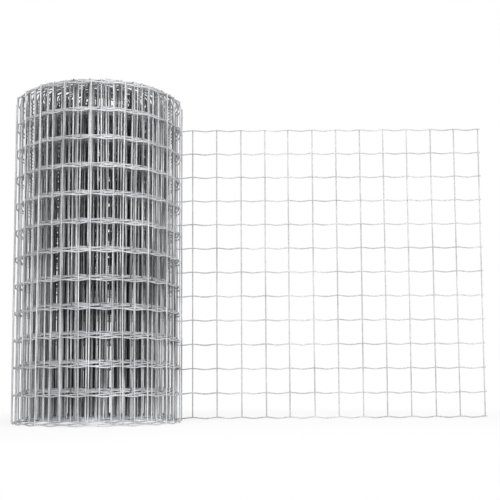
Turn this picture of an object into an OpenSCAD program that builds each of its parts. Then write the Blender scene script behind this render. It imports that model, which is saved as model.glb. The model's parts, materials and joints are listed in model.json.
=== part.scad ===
// Roll of welded wire fencing, standing on its end, with its free end drawn out flat behind it.
// The origin is on the axis of the bore, at the lower end of the roll. The sheet is wound clockwise
// from the bore outwards, seen from above, and its free end runs along +X.

/* [Mesh] */
// Spacing of the wires, both ways
cell = 50; // [30:5:75]
// Cells in the height of the fence
rows = 12; // [4:1:24]
// Diameter of every wire
wire_d = 2.5; // [1.8:0.1:3.6]
// Depth to which a stay wire sinks into a line wire at each weld
weld_sink = 0.4; // [0.1:0.1:0.6]
// Dip of each line wire between two stay wires
crimp = 2.3; // [0.5:0.1:5]

/* [Roll] */
// Diameter of the open bore
bore_d = 50; // [40:5:160]
// Full turns wound tight round the bore
turns = 28; // [6:1:40]
// Depth to which the gaps between the turns are open at both ends
gap_depth = 8; // [3:1:20]

/* [Free end] */
// Distance by which the loose last half turn stands off the back of the roll
slack = 22; // [10:1:60]
// Distance of the first flat stay wire from the end of the loose half turn
first_stay = 13; // [5:1:25]
// Cells drawn out flat past the first stay wire
free_cells = 15; // [4:1:30]
// Length of the line wires past the last stay wire
overhang = 3; // [1:0.5:10]

/* [Hidden] */

// The sheet is two wires thick, less what the welds take up, and the turns lie on each other
sheet_t = 2 * wire_d - weld_sink;
height = rows * cell + wire_d + crimp;

// Right-hand half turns are centred on the axis, and each left-hand half turn half a sheet behind it
bore_r = bore_d / 2;
right_r = bore_r + turns * sheet_t;
left_r = right_r - sheet_t / 2;
left_y = sheet_t / 2;

// The loose half turn starts where the last tight one ends, and swings out by the slack
loose_r = right_r + slack / 2;
loose_y = slack / 2;
flat_y = right_r - sheet_t + slack;

// The stay wires lie behind the line wires, whose near side is at the front of the sheet
stay_y = 1.5 * wire_d - weld_sink;

// Stay wires are about a cell apart round the roll, and one of them is where the loose half turn begins
loose_cells = round((line_length(loose_r) + first_stay) / cell);
tight_cells = round(line_length(right_r) / cell);
loose_step = (line_length(loose_r) + first_stay) / loose_cells;
tight_step = line_length(right_r) / tight_cells;
loose_stays = [for (i = [1 : loose_cells]) i * loose_step - first_stay];
tight_stays = [for (i = [1 : tight_cells - 1]) i * tight_step];

// A cut runs this far past the face that it opens
past = 1;
round_fn = 128;
stay_fn = 8;
crimp_steps = 4;

function line_z(row) = crimp + wire_d / 2 + row * cell;
function stay_x(i) = first_stay + i * cell;
function dip(x) = -crimp * (1 - cos(360 * (x - first_stay) / cell)) / 2;
function line_length(outer) = PI * (outer - sheet_t + wire_d / 2);

// Half of a ring on the right of its centre, or on the left of it
module half_ring(inner, outer, h, left = false) {
    rotate([0, 0, left ? 90 : -90])
        rotate_extrude(angle = 180, $fn = round_fn)
            translate([inner, 0])
                square([outer - inner, h]);
}

// The spiral gap between the turns, as a chain of half rings
module turn_gaps() {
    for (turn = [0 : turns - 2]) {
        inner = bore_r + turn * sheet_t + wire_d;
        outer = bore_r + (turn + 1) * sheet_t;
        half_ring(inner, outer, gap_depth + past);
        translate([0, left_y, 0])
            half_ring(inner + sheet_t / 2, outer + sheet_t / 2, gap_depth + past, left = true);
    }
}

// The turns inside the outermost one, which lie on each other all the way to the bore
module inner_turns() {
    difference() {
        union() {
            half_ring(0, right_r - sheet_t, height);
            translate([0, left_y, 0])
                half_ring(0, left_r, height, left = true);
        }
        translate([0, 0, -past])
            cylinder(r = bore_r, h = height + 2 * past, $fn = round_fn);
        translate([0, 0, -past])
            turn_gaps();
        translate([0, 0, height - gap_depth])
            turn_gaps();
    }
}

// Half a turn of open mesh: line wires, rooted in the turn below, and stay wires welded to their outside
module open_half_turn(outer, stays, root = 0, left = false) {
    line_r = outer - wire_d + weld_sink;
    length = line_length(outer);
    for (row = [0 : rows])
        translate([0, 0, line_z(row) + dip(0) - wire_d / 2])
            half_ring(line_r - wire_d - root, line_r, wire_d, left);
    for (way = stays)
        rotate([0, 0, (left ? 90 : -90) + 180 * way / length])
            translate([outer - wire_d / 2, 0, crimp])
                stay_wire();
}

// The wound turns: the outermost one is open mesh, whose loose half stands off the roll
module wound_roll() {
    color([0.66, 0.67, 0.68])
        union() {
            inner_turns();
            open_half_turn(right_r, tight_stays, root = weld_sink);
            translate([0, loose_y, 0])
                open_half_turn(loose_r, loose_stays, left = true);
        }
}

// One line wire of the flat sheet, which dips between the stay wires
module line_wire() {
    step = cell / crimp_steps;
    first = 1 - ceil(first_stay / step);
    bends = [for (i = [first : free_cells * crimp_steps]) first_stay + i * step];
    wave = [for (x = concat([0], bends)) [x, dip(x)]];
    course = concat(wave, [[stay_x(free_cells) + overhang, 0]]);
    last = len(course) - 1;
    upper = [for (point = course) point + [0, wire_d / 2]];
    lower = [for (i = [last : -1 : 0]) course[i] - [0, wire_d / 2]];
    rotate([90, 0, 0])
        translate([0, 0, -wire_d])
            linear_extrude(wire_d)
                polygon(concat(upper, lower));
}

// One stay wire, with a flat side towards the line wires
module stay_wire() {
    rotate([0, 0, 180 / stay_fn])
        cylinder(d = wire_d, h = height - crimp, $fn = stay_fn);
}

// The flat sheet: line wires in front, and stay wires welded to the back of them
module free_end() {
    color([0.74, 0.75, 0.76])
        translate([0, flat_y, 0])
            union() {
                for (row = [0 : rows])
                    translate([0, 0, line_z(row)])
                        line_wire();
                for (i = [0 : free_cells])
                    translate([stay_x(i), stay_y, crimp])
                        stay_wire();
            }
}

wound_roll();
free_end();
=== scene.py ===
"""Looks of a standing roll of welded wire fencing, laid out as a Blender add-on and run as a script."""

import json
import math
import random

import bmesh
import bpy
from mathutils import Euler, Matrix, Vector


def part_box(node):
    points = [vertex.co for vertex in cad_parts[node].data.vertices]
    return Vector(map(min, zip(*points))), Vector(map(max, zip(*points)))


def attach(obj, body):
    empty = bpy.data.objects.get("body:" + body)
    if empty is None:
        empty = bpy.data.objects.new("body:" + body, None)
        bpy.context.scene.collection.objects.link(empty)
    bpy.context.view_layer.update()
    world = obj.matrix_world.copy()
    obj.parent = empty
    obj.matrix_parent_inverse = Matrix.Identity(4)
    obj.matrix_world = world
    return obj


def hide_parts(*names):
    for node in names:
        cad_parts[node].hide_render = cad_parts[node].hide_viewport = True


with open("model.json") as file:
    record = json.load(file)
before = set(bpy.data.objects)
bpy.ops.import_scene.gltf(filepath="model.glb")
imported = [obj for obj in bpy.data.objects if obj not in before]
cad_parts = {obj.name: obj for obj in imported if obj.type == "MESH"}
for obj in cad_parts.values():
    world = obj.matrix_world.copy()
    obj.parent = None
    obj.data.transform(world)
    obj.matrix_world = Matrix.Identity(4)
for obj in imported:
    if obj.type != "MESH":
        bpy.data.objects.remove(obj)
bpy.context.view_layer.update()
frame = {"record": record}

bl_info = {
    "name": "Wire Fencing Roll",
    "version": (1, 0, 0),
    "blender": (4, 5, 0),
    "location": "View3D > Sidebar > Fencing",
    "description": "Builds a standing roll of welded wire fencing with its free end drawn out flat",
    "category": "Object",
}

BODY = "root"

wound_low, wound_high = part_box("wound_roll")
free_low, free_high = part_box("free_end")
bore = next(mount for mount in frame["record"]["mounts"] if mount["name"] == "core_bore")

# Steps in a cell and sides of a wire: fine where the wires are seen close, coarse deep in the roll
FINE_STEPS, FINE_SIDES = 8, 8
COARSE_STEPS, COARSE_SIDES = 5, 6
STAY_STEPS = 12
# Stay wires of the roll, counted inwards, that have weld beads
WELDED_STAYS = 30
# Share of the swell that each turn passes on to the next one in
SWELL_KEPT = 0.6
# Shortest and longest wave in the uneven height of the turns
WAVE_LENGTHS = 0.16, 0.9
# Level about which a stay wire bows, near the mean of its bow
BOW_LEVEL = 0.6

# Mottling of the zinc: crystals and patches to the metre, and the patches' share of it
CRYSTAL_SCALE, PATCH_SCALE = 260.0, 14.0
PATCH_SHARE = 0.6
METALLIC = 0.5
DULL_ROUGHNESS = 0.16
GRAIN_STRENGTH, GRAIN_DEPTH = 0.15, 0.0003

# Radii between which painted shade darkens the colour of the turns inwards, in place of the shade deep in
# the roll, and between which the outermost stay wires turn more even
OUTER_RADIUS = -wound_low.y
PAINTED_SHADE_RADII = OUTER_RADIUS * 0.42, OUTER_RADIUS * 0.8
EVEN_RADII = OUTER_RADIUS * 0.955, OUTER_RADIUS * 0.985
# Heights in which the open ends of the roll keep their colour, where the painted shade of the inner turns
# gives way because the ends are lit
UPPER_RIM = wound_high.z - 0.01, wound_high.z + 0.01
UPPER_SHARE = 0.5
LOWER_RIM = 0.0, 0.09
# Tones of the stay wires: streaks to the metre, their stretch along the wires, and the noise that they span
STREAK_SCALE = 200.0
STREAK_STRETCH = 1.0, 1.0, 0.04
STREAK_NOISE = 0.36, 0.58
EVEN_SHARE = 0.72
BRIGHTEST_SHARE = 1.1

FLOOR_MIDDLE = 0.3, 0.0, 0.0
FLOOR_DROP = 0.0003
FLOOR_RADIUS = 12.0
# Distances from the floor's middle between which it fades to white, and its share of white at the middle
FLOOR_FADE = 0.5, 1.1
FLOOR_WHITE = 0.8
SENSOR_WIDTH = 36.0


class FencingMesh(bpy.types.PropertyGroup):
    """The welded sheet: its cells and its wires"""

    cell: bpy.props.FloatProperty(
        name="Cell", description="Spacing of the wires, both ways", default=0.05, unit="LENGTH"
    )
    wire_diameter: bpy.props.FloatProperty(
        name="Wire", description="Diameter of every wire", default=0.0025, unit="LENGTH"
    )
    weld_sink: bpy.props.FloatProperty(
        name="Weld sink",
        description="Depth of a stay wire in a line wire",
        default=0.0004,
        unit="LENGTH",
    )
    weld_radius: bpy.props.FloatProperty(
        name="Weld", description="Radius of the bead at each weld", default=0.00145, unit="LENGTH"
    )
    crimp: bpy.props.FloatProperty(
        name="Crimp", description="Dip of a line wire between stay wires", default=0.0023, unit="LENGTH"
    )
    overhang: bpy.props.FloatProperty(
        name="Overhang", description="Line wire past the last stay wire", default=0.003, unit="LENGTH"
    )


class FencingWinding(bpy.types.PropertyGroup):
    """How the sheet is wound, apart from the sizes that the frame gives"""

    kink_loose: bpy.props.FloatProperty(
        name="Loose kink",
        description="How straight the loose half turn runs between stays",
        default=0.85,
    )
    kink_tight: bpy.props.FloatProperty(
        name="Tight kink", description="How straight the tight turns run between stays", default=0.35
    )
    lift: bpy.props.FloatProperty(
        name="Lift",
        description="Height by which the inner turns stand proud",
        default=0.0105,
        unit="LENGTH",
    )
    settle: bpy.props.FloatProperty(
        name="Settle", description="Length of sheet in which the lift grows", default=2.0, unit="LENGTH"
    )
    swell: bpy.props.FloatProperty(
        name="Swell",
        description="How far the next half turns follow the loose one out",
        default=0.005,
        unit="LENGTH",
    )
    wander: bpy.props.FloatProperty(
        name="Wander", description="Uneven height of the turns", default=0.0014, unit="LENGTH"
    )
    loose_cells: bpy.props.FloatProperty(
        name="Loose cells", description="Cells in the loose half turn", default=10.62
    )
    turn_step: bpy.props.FloatProperty(
        name="Turn step",
        description="Part of a cell by which each turn runs past whole cells",
        default=0.37,
    )
    half_lead: bpy.props.FloatProperty(
        name="Half lead",
        description="Part of a cell by which each turn's first half is ahead",
        default=0.06,
    )
    scatter: bpy.props.FloatProperty(
        name="Scatter", description="Uneven spacing of the stay wires", default=0.003, unit="LENGTH"
    )
    lean: bpy.props.FloatProperty(
        name="Lean", description="Sideways lean of a stay wire", default=0.0014, unit="LENGTH"
    )
    flat_share: bpy.props.FloatProperty(
        name="Flat share",
        description="Share of scatter and lean in the flat end",
        default=0.2,
        subtype="FACTOR",
    )
    seed: bpy.props.IntProperty(name="Seed", description="Start of the random draws", default=4)


class FencingFinish(bpy.types.PropertyGroup):
    """Zinc on the wires, and the painted shade that dims it"""

    bright: bpy.props.FloatVectorProperty(
        name="Bright zinc",
        description="Colour of clean zinc",
        subtype="COLOR",
        default=(0.73, 0.74, 0.76),
    )
    dull: bpy.props.FloatVectorProperty(
        name="Dull zinc",
        description="Colour of weathered zinc",
        subtype="COLOR",
        default=(0.485, 0.495, 0.515),
    )
    roughness: bpy.props.FloatProperty(
        name="Roughness", description="Roughness of clean zinc", default=0.5, subtype="FACTOR"
    )
    # Even painted shade on the free end, in place of less light falling on it
    free_end: bpy.props.FloatProperty(
        name="Free end", description="Share of colour on the free end", default=0.93, subtype="FACTOR"
    )
    # Share at the outer end of the line wires' painted shade, an even dimming of the same zinc
    outer_lines: bpy.props.FloatProperty(
        name="Outer lines",
        description="Share of colour on the outermost line wires",
        default=0.92,
        subtype="FACTOR",
    )
    # Painted shade: the share left on the innermost line wires, in place of the shade deep in the roll
    painted_shade_deep_lines: bpy.props.FloatProperty(
        name="Deep lines",
        description="Share of colour on the innermost line wires",
        default=0.36,
        subtype="FACTOR",
    )
    # Share at the outer end of the stay wires' painted shade, an even dimming of the same zinc
    outer_stays: bpy.props.FloatProperty(
        name="Outer stays",
        description="Share of colour on the outermost stay wires",
        default=0.97,
        subtype="FACTOR",
    )
    # Painted shade: the share left on the innermost stay wires, in place of the shade deep in the roll
    painted_shade_deep_stays: bpy.props.FloatProperty(
        name="Deep stays",
        description="Share of colour on the innermost stay wires",
        default=0.22,
        subtype="FACTOR",
    )
    # Dullest share of the stay wires' random tone below the outer turn, which also acts as painted shade
    # there
    dullest_stay: bpy.props.FloatProperty(
        name="Dullest stay",
        description="Share of colour left on the dullest stay wires",
        default=0.28,
        subtype="FACTOR",
    )


class FencingStage(bpy.types.PropertyGroup):
    """Camera, lights and floor"""

    eye: bpy.props.FloatVectorProperty(
        name="Eye",
        description="Place of the camera",
        subtype="TRANSLATION",
        default=(0.281, -1.726, 0.0745),
    )
    aim: bpy.props.FloatVectorProperty(
        name="Aim",
        description="Pitch, roll and pan of the camera in degrees",
        default=(5.12, -0.3, 0.0),
    )
    lens: bpy.props.FloatProperty(
        name="Lens",
        description="Focal length in millimetres on a 36 mm sensor",
        default=66.2,
        unit="CAMERA",
    )
    rise: bpy.props.FloatProperty(
        name="Rise",
        description="Upward shift of the lens, which keeps the uprights straighter",
        default=0.1,
    )
    ambient: bpy.props.FloatProperty(
        name="Ambient", description="Strength of the soft light from all round", default=0.42
    )
    key_power: bpy.props.FloatProperty(
        name="Key light", description="Power of the key light", default=26.0, unit="POWER"
    )
    fill_power: bpy.props.FloatProperty(
        name="Fill light", description="Power of the fill light", default=25.0, unit="POWER"
    )
    top_power: bpy.props.FloatProperty(
        name="Top light", description="Power of the light from above", default=13.0, unit="POWER"
    )
    back_power: bpy.props.FloatProperty(
        name="Back light", description="Power of the light from behind", default=22.0, unit="POWER"
    )


class Winding:
    """The course of the sheet, as arcs that run on from each other from the free end inwards.

    A place on it is a distance along the line wires from where the loose half turn meets the flat end.
    Distances are positive inwards round the roll and negative along the flat end.
    """

    def __init__(self, mesh, shape):
        wire = mesh.wire_diameter
        sheet = 2 * wire - mesh.weld_sink
        bore_radius = bore["dims"]["r_mm"] / 1000
        turns = round((wound_high.x + wire / 2 - bore_radius) / sheet)
        slack = free_low.y - bore_radius - (turns - 1) * sheet
        self.flat_y = free_low.y + wire / 2
        arcs = [(slack / 2, self.flat_y - slack / 2, 0.0)]
        for turn in reversed(range(turns)):
            arcs.append((0.0, bore_radius + turn * sheet + wire / 2, 0.0))
            if turn:
                swell = shape.swell * SWELL_KEPT ** (turns - 1 - turn)
                arcs.append((sheet / 2, bore_radius + (turn - 0.5) * sheet + wire / 2, swell))
        self.arcs = []
        self.length = 0.0
        for centre_y, radius, swell in arcs:
            self.arcs.append((self.length, centre_y, radius, swell))
            self.length += math.pi * radius
        self.loose_end = math.pi * arcs[0][1]

    def place(self, distance):
        """Point on the line wires' course and the direction away from the roll, both in plan."""
        if distance <= 0:
            return Vector((-distance, self.flat_y)), Vector((0.0, 1.0))
        index = sum(arc[0] <= distance for arc in self.arcs) - 1
        start, centre_y, radius, swell = self.arcs[index]
        angle = math.pi * (index + 0.5) + (distance - start) / radius
        outward = Vector((math.cos(angle), math.sin(angle)))
        return Vector((0.0, centre_y)) + (radius + swell * outward.x**2) * outward, outward

    def inside(self, distance):
        """Length of tight turns passed at a distance."""
        return max(0.0, distance - self.loose_end)


class Waves:
    """A smooth uneven curve about zero, made of a few waves of random length"""

    def __init__(self, draws, shortest, longest, count=5):
        self.parts = [(draws.uniform(shortest, longest), draws.uniform(0, math.tau)) for _ in range(count)]

    def at(self, distance):
        total = sum(math.sin(math.tau * distance / length + phase) for length, phase in self.parts)
        return total / math.sqrt(len(self.parts))


class Sheet:
    """The wires of the sheet along its winding. Stay wires are numbered inwards, from the flat end on."""

    def __init__(self, settings):
        self.mesh = settings.mesh
        self.shape = settings.winding
        self.winding = Winding(self.mesh, self.shape)
        cell = self.mesh.cell
        self.rows = round((wound_high.z - self.mesh.wire_diameter - self.mesh.crimp) / cell)
        self.first_stay = (free_high.x - self.mesh.overhang) % cell
        self.counts = self.cell_counts()
        self.last_flat = math.ceil(-free_high.x / cell)
        self.last_wound = math.floor(self.counts[-1][0])
        draws = random.Random(self.shape.seed)
        self.height_waves = Waves(draws, *WAVE_LENGTHS)
        numbers = range(self.last_flat, self.last_wound + 1)
        self.draws = {number: [draws.gauss(0, 1) for _ in range(3)] for number in numbers}

    def cell_counts(self):
        """Cells passed, and distance, at the ends of the loose half turn and of each turn after it.

        Each turn takes up whole cells and the same part of one more, so the stay wires of the turns
        spread out evenly behind each other.
        """
        cell, step = self.mesh.cell, self.shape.turn_step
        flat = self.first_stay / cell
        counts = [(flat, 0.0), (flat + self.shape.loose_cells, self.winding.loose_end)]
        starts = [arc[0] for arc in self.winding.arcs[1:]]
        for start, half, end in zip(starts[0::2], starts[1::2], starts[2::2]):
            count = counts[-1][0]
            cells = round((end - start) / cell - step) + step
            lead = cells * (half - start) / (end - start) + self.shape.half_lead
            counts += [(count + lead, half), (count + cells, end)]
        count, start = counts[-1]
        counts.append((count + (self.winding.length - start) / cell, self.winding.length))
        return counts

    def settled(self, distance):
        """Grows from 0 in the loose turn to 1 deep in the roll."""
        return 1 - math.exp(-((self.winding.inside(distance) / self.shape.settle) ** 2))

    def lift(self, distance):
        """Height of the sheet above its place in the loose turn: the inner turns have crept up."""
        uneven = self.shape.wander * self.height_waves.at(distance)
        return self.settled(distance) * (self.shape.lift + uneven)

    def stay_distance(self, number):
        """Distance of a stay wire, by the cells passed."""
        for (before, start), (after, end) in zip(self.counts, self.counts[1:]):
            if before < number <= after:
                return start + (end - start) * (number - before) / (after - before)
        return number * self.mesh.cell - self.first_stay

    def kink(self, distance):
        """How straight the sheet runs between two stay wires, from 0, round, to 1, straight."""
        if distance < self.winding.loose_end:
            return self.shape.kink_loose
        return self.shape.kink_tight * (1 - distance / self.winding.length)

    def line_height(self, row):
        """Height of a line wire's middle where a stay wire crosses it."""
        return self.mesh.crimp + self.mesh.wire_diameter / 2 + row * self.mesh.cell

    def plan(self, first, last, steps):
        """Points of the line wires in plan between two stay wires, with heights above the crossings."""
        points = []
        for number in range(first, last):
            near, far = self.stay_distance(number), self.stay_distance(number + 1)
            start, end = self.winding.place(near)[0], self.winding.place(far)[0]
            for step in range(steps + (number == last - 1)):
                share = step / steps
                distance = near + share * (far - near)
                bent = self.winding.place(distance)[0]
                point = bent.lerp(start.lerp(end, share), self.kink(distance))
                dip = self.mesh.crimp * (1 - math.cos(math.tau * share)) / 2
                points.append((point.x, point.y, self.lift(distance) - dip))
        return points

    def line_wires(self, plan):
        """Courses of all the line wires over the same plan."""
        heights = [self.line_height(row) for row in range(self.rows + 1)]
        return [[(x, y, height + rise) for x, y, rise in plan] for height in heights]

    def stay_spot(self, number, height, offset):
        """Point of a stay wire at a height of the flat sheet, set off outwards from the line wires."""
        distance = self.stay_distance(number)
        point, outward = self.winding.place(distance)
        along = Vector((-outward.y, outward.x))
        share = height / wound_high.z
        lean, bow, scatter = self.draws[number]
        swing = self.shape.lean * (lean * (share - 0.5) + bow * (math.sin(math.pi * share) - BOW_LEVEL))
        uneven = (swing + scatter * self.shape.scatter) * (1.0 if number > 0 else self.shape.flat_share)
        spot = point + offset * outward + uneven * along
        return spot.x, spot.y, height + self.lift(distance)

    def stay_wires(self, first, last):
        """Courses of the stay wires of a range, on the outside of the line wires."""
        offset = self.mesh.wire_diameter - self.mesh.weld_sink
        reach = self.mesh.wire_diameter / 2
        low, high = self.line_height(0) - reach, self.line_height(self.rows) + reach
        heights = [low + step / STAY_STEPS * (high - low) for step in range(STAY_STEPS + 1)]
        numbers = range(first, last + 1)
        return [[self.stay_spot(number, height, offset) for height in heights] for number in numbers]

    def welds(self, first, last):
        """Points at which the stay wires of a range touch the line wires."""
        offset = (self.mesh.wire_diameter - self.mesh.weld_sink) / 2
        heights = [self.line_height(row) for row in range(self.rows + 1)]
        numbers = range(first, last + 1)
        return [self.stay_spot(number, height, offset) for number in numbers for height in heights]


def add_piece(name, mesh, node, material):
    """Places a finished mesh in the scene, to stand for a CAD node."""
    mesh.name = name
    mesh.shade_smooth()
    mesh.materials.clear()
    mesh.materials.append(material)
    piece = bpy.data.objects.new(name, mesh)
    bpy.context.scene.collection.objects.link(piece)
    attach(piece, BODY)
    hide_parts(node)


def wires_mesh(courses, diameter, sides):
    """A mesh of round wires, one along each course."""
    curve = bpy.data.curves.new("wires", "CURVE")
    curve.dimensions = "3D"
    curve.bevel_depth = diameter / 2
    curve.bevel_resolution = (sides - 4) // 2
    curve.use_fill_caps = True
    for course in courses:
        spline = curve.splines.new("POLY")
        spline.points.add(len(course) - 1)
        spline.points.foreach_set("co", [value for point in course for value in (*point, 1.0)])
    maker = bpy.data.objects.new("wires", curve)
    bpy.context.scene.collection.objects.link(maker)
    graph = bpy.context.evaluated_depsgraph_get()
    mesh = bpy.data.meshes.new_from_object(maker.evaluated_get(graph))
    bpy.data.objects.remove(maker)
    bpy.data.curves.remove(curve)
    return mesh


def beads_mesh(spots, radius):
    """A mesh of small round beads, one at each spot."""
    shape = bmesh.new()
    for spot in spots:
        bmesh.ops.create_icosphere(shape, subdivisions=1, radius=radius, matrix=Matrix.Translation(spot))
    mesh = bpy.data.meshes.new("beads")
    shape.to_mesh(mesh)
    shape.free()
    return mesh


def add_node(tree, kind, **values):
    """A new node of a tree, with its settings."""
    node = tree.nodes.new(kind)
    for name, value in values.items():
        setattr(node, name, value)
    return node


def feed(tree, socket, value):
    """Links a socket into another one, or sets that one to a plain value."""
    if isinstance(value, bpy.types.NodeSocket):
        tree.links.new(value, socket)
    else:
        socket.default_value = value


def math_node(tree, operation, first, second=0.0):
    """The result of a Math node."""
    node = add_node(tree, "ShaderNodeMath", operation=operation)
    feed(tree, node.inputs[0], first)
    feed(tree, node.inputs[1], second)
    return node.outputs[0]


def range_node(tree, value, low, high, to_low, to_high):
    """The result of a smooth Map Range node."""
    node = add_node(tree, "ShaderNodeMapRange", interpolation_type="SMOOTHSTEP")
    feed(tree, node.inputs["Value"], value)
    for name, number in zip(("From Min", "From Max", "To Min", "To Max"), (low, high, to_low, to_high)):
        feed(tree, node.inputs[name], number)
    return node.outputs["Result"]


def mix_node(tree, factor, first, second):
    """The result of a Mix node for colours."""
    node = add_node(tree, "ShaderNodeMix", data_type="RGBA")
    sockets = {socket.identifier: socket for socket in node.inputs}
    for name, value in (("Factor_Float", factor), ("A_Color", first), ("B_Color", second)):
        feed(tree, sockets[name], value)
    return next(socket for socket in node.outputs if socket.identifier == "Result_Color")


def zinc_bloom_group():
    """Mottling of hot-dip zinc: crystals a few millimetres across in broad dull and bright patches."""
    name = "zinc_bloom"
    if name in bpy.data.node_groups:
        return bpy.data.node_groups[name]
    tree = bpy.data.node_groups.new(name, "ShaderNodeTree")
    tree.interface.new_socket("Position", in_out="INPUT", socket_type="NodeSocketVector")
    tree.interface.new_socket("Crystal scale", in_out="INPUT", socket_type="NodeSocketFloat")
    tree.interface.new_socket("Patch scale", in_out="INPUT", socket_type="NodeSocketFloat")
    tree.interface.new_socket("Brightness", in_out="OUTPUT", socket_type="NodeSocketFloat")
    tree.interface.new_socket("Grain", in_out="OUTPUT", socket_type="NodeSocketFloat")
    inside = add_node(tree, "NodeGroupInput")
    outside = add_node(tree, "NodeGroupOutput")
    crystals = add_node(tree, "ShaderNodeTexVoronoi")
    patches = add_node(tree, "ShaderNodeTexNoise")
    patches.inputs["Detail"].default_value = 3.0
    grain = add_node(tree, "ShaderNodeTexNoise")
    grain.inputs["Detail"].default_value = 4.0
    crystal_scale = inside.outputs["Crystal scale"]
    fine_scale = math_node(tree, "MULTIPLY", crystal_scale, 4.0)
    scales = (crystals, crystal_scale), (patches, inside.outputs["Patch scale"]), (grain, fine_scale)
    for texture, scale in scales:
        feed(tree, texture.inputs["Vector"], inside.outputs["Position"])
        feed(tree, texture.inputs["Scale"], scale)
    tone = add_node(tree, "ShaderNodeSeparateColor")
    feed(tree, tone.inputs["Color"], crystals.outputs["Color"])
    broad = range_node(tree, patches.outputs["Fac"], 0.35, 0.65, 0.0, PATCH_SHARE)
    narrow = math_node(tree, "MULTIPLY", tone.outputs["Red"], 1 - PATCH_SHARE)
    feed(tree, outside.inputs["Brightness"], math_node(tree, "ADD", broad, narrow))
    feed(tree, outside.inputs["Grain"], grain.outputs["Fac"])
    return tree


def streaks_and_painted_shade(tree, place, radius, dullest):
    """Share of colour that differs at random from one upright wire to the next, less so on the outermost
    turn: random tone, which as painted shade also darkens the stays below the outer turn on the whole.
    """
    drawn_out = add_node(tree, "ShaderNodeVectorMath", operation="MULTIPLY")
    feed(tree, drawn_out.inputs[0], place)
    feed(tree, drawn_out.inputs[1], STREAK_STRETCH)
    streaks = add_node(tree, "ShaderNodeTexNoise")
    streaks.inputs["Scale"].default_value = STREAK_SCALE
    streaks.inputs["Detail"].default_value = 1.0
    feed(tree, streaks.inputs["Vector"], drawn_out.outputs["Vector"])
    low = range_node(tree, radius, *EVEN_RADII, dullest, EVEN_SHARE)
    return range_node(tree, streaks.outputs["Fac"], *STREAK_NOISE, low, BRIGHTEST_SHARE)


def painted_shade_by_depth(tree, place, outer_share, deep_shade_share, dullest):
    """Painted shade: a share of colour that falls with depth below the outer turns, in place of the shade
    deep in the roll, but not at the roll's open ends.
    """
    parts = add_node(tree, "ShaderNodeSeparateXYZ")
    feed(tree, parts.inputs["Vector"], place)
    across = math_node(tree, "POWER", parts.outputs["X"], 2.0)
    along = math_node(tree, "POWER", parts.outputs["Y"], 2.0)
    radius = math_node(tree, "SQRT", math_node(tree, "ADD", across, along))
    # painted shade, darker towards the inside of the roll
    depth = range_node(tree, radius, *PAINTED_SHADE_RADII, deep_shade_share, outer_share)
    # the open ends keep their colour, where the painted shade lifts
    upper = range_node(tree, parts.outputs["Z"], *UPPER_RIM, 0.0, UPPER_SHARE)
    lower = range_node(tree, parts.outputs["Z"], *LOWER_RIM, 1.0, 0.0)
    share = math_node(tree, "MAXIMUM", depth, upper)
    # random tone of the stay wires, darker on the whole below the outer turn as painted shade
    if dullest < 1:
        share = math_node(tree, "MULTIPLY", share, streaks_and_painted_shade(tree, place, radius, dullest))
    return math_node(tree, "MAXIMUM", share, lower)


def zinc_material(name, finish, share, deep_shade_share=None, dullest=1.0):
    """Hot-dip zinc on wire, with a share of its colour as painted shade that may fall on the inner turns.
    """
    material = bpy.data.materials.new(name)
    material.use_nodes = True
    tree = material.node_tree
    surface = tree.nodes["Principled BSDF"]
    surface.inputs["Metallic"].default_value = METALLIC
    place = add_node(tree, "ShaderNodeTexCoord").outputs["Object"]
    bloom = add_node(tree, "ShaderNodeGroup", node_tree=zinc_bloom_group())
    bloom.inputs["Crystal scale"].default_value = CRYSTAL_SCALE
    bloom.inputs["Patch scale"].default_value = PATCH_SCALE
    feed(tree, bloom.inputs["Position"], place)
    brightness = bloom.outputs["Brightness"]
    colour = mix_node(tree, brightness, (*finish.dull, 1.0), (*finish.bright, 1.0))
    if deep_shade_share is not None:
        share = painted_shade_by_depth(tree, place, share, deep_shade_share, dullest)
    # The share dims the zinc: an even painted shade, or one that falls with depth on the turns
    feed(tree, surface.inputs["Base Color"], mix_node(tree, share, (0.0, 0.0, 0.0, 1.0), colour))
    rough = range_node(tree, brightness, 0.0, 1.0, finish.roughness + DULL_ROUGHNESS, finish.roughness)
    feed(tree, surface.inputs["Roughness"], rough)
    bump = add_node(tree, "ShaderNodeBump")
    bump.inputs["Strength"].default_value = GRAIN_STRENGTH
    bump.inputs["Distance"].default_value = GRAIN_DEPTH
    feed(tree, bump.inputs["Height"], bloom.outputs["Grain"])
    feed(tree, surface.inputs["Normal"], bump.outputs["Normal"])
    return material


class FENCING_OT_turns(bpy.types.Operator):
    """Wind the turns of the roll, with the loose half turn"""

    bl_idname = "fencing.turns"
    bl_label = "Wind the Turns"

    def execute(self, context):
        settings = context.scene.fencing
        sheet = Sheet(settings)
        diameter = settings.mesh.wire_diameter
        finish = settings.finish
        # Painted shade on the turns: the line and stay wires each get their own share, falling with depth
        line_zinc = zinc_material("turn_line_zinc_with_painted_shade", finish, finish.outer_lines, finish.painted_shade_deep_lines)
        stay_shares = finish.outer_stays, finish.painted_shade_deep_stays, finish.dullest_stay
        stay_zinc = zinc_material("turn_stay_zinc_with_painted_shade", finish, *stay_shares)
        middle = sheet.last_wound // 3
        ranges = {
            "outer": (0, middle, FINE_STEPS, FINE_SIDES),
            "inner": (middle, sheet.last_wound, COARSE_STEPS, COARSE_SIDES),
        }
        for part, (first, last, steps, sides) in ranges.items():
            lines = wires_mesh(sheet.line_wires(sheet.plan(first, last, steps)), diameter, sides)
            stays = wires_mesh(sheet.stay_wires(first + 1, last), diameter, sides)
            add_piece(f"{part}_turn_line_wires", lines, "wound_roll", line_zinc)
            add_piece(f"{part}_turn_stay_wires", stays, "wound_roll", stay_zinc)
        beads = beads_mesh(sheet.welds(1, WELDED_STAYS), settings.mesh.weld_radius)
        add_piece("outer_turn_welds", beads, "wound_roll", line_zinc)
        return {"FINISHED"}


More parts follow.
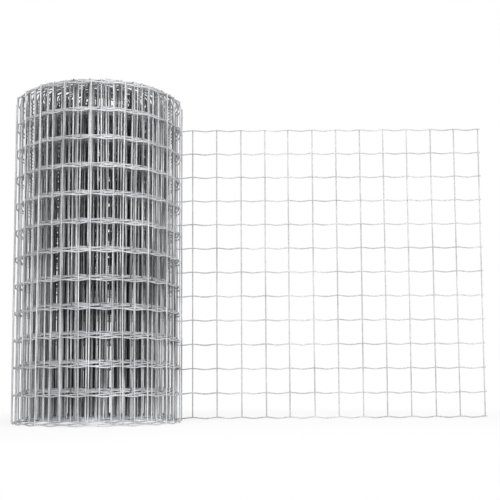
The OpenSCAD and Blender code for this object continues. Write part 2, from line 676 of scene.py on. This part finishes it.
class FENCING_OT_free_end(bpy.types.Operator):
    """Draw the free end of the sheet out flat"""

    bl_idname = "fencing.free_end"
    bl_label = "Draw Out the Free End"

    def execute(self, context):
        settings = context.scene.fencing
        sheet = Sheet(settings)
        diameter = settings.mesh.wire_diameter
        # zinc of the free end, evenly dimmed by painted shade
        zinc = zinc_material("free_end_zinc_painted_shade", settings.finish, settings.finish.free_end)
        first = sheet.last_flat
        plan = sheet.plan(first, 0, FINE_STEPS)
        lines = sheet.line_wires([(free_high.x, plan[0][1], plan[0][2]), *plan])
        stays = sheet.stay_wires(first, 0)
        add_piece("free_end_line_wires", wires_mesh(lines, diameter, FINE_SIDES), "free_end", zinc)
        add_piece("free_end_stay_wires", wires_mesh(stays, diameter, FINE_SIDES), "free_end", zinc)
        beads = beads_mesh(sheet.welds(first, 0), settings.mesh.weld_radius)
        add_piece("free_end_welds", beads, "free_end", zinc)
        return {"FINISHED"}


def white_surround(ambient):
    """A white world, seen at full strength and shining at the ambient strength."""
    world = bpy.data.worlds.new("white_surround")
    bpy.context.scene.world = world
    world.use_nodes = True
    tree = world.node_tree
    background = tree.nodes["Background"]
    background.inputs["Color"].default_value = (1.0, 1.0, 1.0, 1.0)
    seen = add_node(tree, "ShaderNodeLightPath").outputs["Is Camera Ray"]
    feed(tree, background.inputs["Strength"], range_node(tree, seen, 0.0, 1.0, ambient, 1.0))


def pale_floor():
    """A wide pale floor that keeps a soft shadow under the fence and fades to white away from it."""
    mesh = bpy.data.meshes.new("pale_floor")
    shape = bmesh.new()
    place = Matrix.Translation((FLOOR_MIDDLE[0], FLOOR_MIDDLE[1], -FLOOR_DROP))
    bmesh.ops.create_circle(shape, cap_ends=True, segments=64, radius=FLOOR_RADIUS, matrix=place)
    shape.to_mesh(mesh)
    shape.free()
    floor = bpy.data.objects.new("pale_floor", mesh)
    bpy.context.scene.collection.objects.link(floor)
    material = bpy.data.materials.new("pale_floor")
    material.use_nodes = True
    tree = material.node_tree
    paint = tree.nodes["Principled BSDF"]
    paint.inputs["Base Color"].default_value = (0.9, 0.9, 0.9, 1.0)
    paint.inputs["Roughness"].default_value = 0.9
    paint.inputs["Specular IOR Level"].default_value = 0.0
    glow = add_node(tree, "ShaderNodeEmission")
    blend = add_node(tree, "ShaderNodeMixShader")
    distance = add_node(tree, "ShaderNodeVectorMath", operation="DISTANCE")
    feed(tree, distance.inputs[0], add_node(tree, "ShaderNodeTexCoord").outputs["Object"])
    feed(tree, distance.inputs[1], FLOOR_MIDDLE)
    white = range_node(tree, distance.outputs["Value"], *FLOOR_FADE, FLOOR_WHITE, 1.0)
    seen = add_node(tree, "ShaderNodeLightPath").outputs["Is Camera Ray"]
    feed(tree, blend.inputs["Fac"], math_node(tree, "MULTIPLY", white, seen))
    feed(tree, blend.inputs[1], paint.outputs["BSDF"])
    feed(tree, blend.inputs[2], glow.outputs["Emission"])
    feed(tree, tree.nodes["Material Output"].inputs["Surface"], blend.outputs["Shader"])
    mesh.materials.append(material)


def soft_light(name, place, target, size, power):
    """A square area light that looks at a target."""
    lamp = bpy.data.lights.new(name, "AREA")
    lamp.shape = "SQUARE"
    lamp.size = size
    lamp.energy = power
    light = bpy.data.objects.new(name, lamp)
    light.location = place
    light.rotation_euler = (Vector(target) - Vector(place)).to_track_quat("-Z", "Y").to_euler()
    bpy.context.scene.collection.objects.link(light)


class FENCING_OT_stage(bpy.types.Operator):
    """Set up the floor, the lights and the camera"""

    bl_idname = "fencing.stage"
    bl_label = "Set Up the Stage"

    def execute(self, context):
        settings = context.scene.fencing.stage
        context.scene.view_settings.view_transform = "Standard"
        white_surround(settings.ambient)
        pale_floor()
        middle = (0.0, 0.0, wound_high.z / 2)
        soft_light("key_light", (-0.2, -2.4, 1.1), middle, 1.4, settings.key_power)
        soft_light("fill_light", (1.9, -1.6, 0.6), middle, 1.6, settings.fill_power)
        soft_light("top_light", (0.1, -0.9, 1.9), middle, 1.2, settings.top_power)
        soft_light("back_light", (0.4, 2.4, 1.0), middle, 1.6, settings.back_power)
        optics = bpy.data.cameras.new("camera")
        optics.lens = settings.lens
        optics.sensor_width = SENSOR_WIDTH
        optics.shift_y = settings.rise
        camera = bpy.data.objects.new("camera", optics)
        pitch, roll, pan = (math.radians(angle) for angle in settings.aim)
        level = Euler((math.pi / 2 + pitch, 0.0, pan), "XYZ").to_matrix()
        camera.rotation_euler = (level @ Matrix.Rotation(roll, 3, "Z")).to_euler()
        camera.location = settings.eye
        context.scene.collection.objects.link(camera)
        context.scene.camera = camera
        return {"FINISHED"}


class FencingSettings(bpy.types.PropertyGroup):
    """All the settings of the roll and its stage"""

    mesh: bpy.props.PointerProperty(type=FencingMesh)
    winding: bpy.props.PointerProperty(type=FencingWinding)
    finish: bpy.props.PointerProperty(type=FencingFinish)
    stage: bpy.props.PointerProperty(type=FencingStage)


class FENCING_PT_panel(bpy.types.Panel):
    """The steps of the build, in order"""

    bl_idname = "FENCING_PT_panel"
    bl_label = "Wire Fencing Roll"
    bl_space_type = "VIEW_3D"
    bl_region_type = "UI"
    bl_category = "Fencing"

    def draw(self, context):
        for step in STEPS:
            self.layout.operator(step.bl_idname)


GROUPS = (FencingMesh, FencingWinding, FencingFinish, FencingStage, FencingSettings)
STEPS = (FENCING_OT_turns, FENCING_OT_free_end, FENCING_OT_stage)
CLASSES = (*GROUPS, *STEPS, FENCING_PT_panel)


def register():
    for kind in CLASSES:
        bpy.utils.register_class(kind)
    bpy.types.Scene.fencing = bpy.props.PointerProperty(type=FencingSettings)


def unregister():
    del bpy.types.Scene.fencing
    for kind in reversed(CLASSES):
        bpy.utils.unregister_class(kind)


def main():
    register()
    bpy.ops.fencing.turns()
    bpy.ops.fencing.free_end()
    bpy.ops.fencing.stage()


if __name__ == "__main__":
    main()
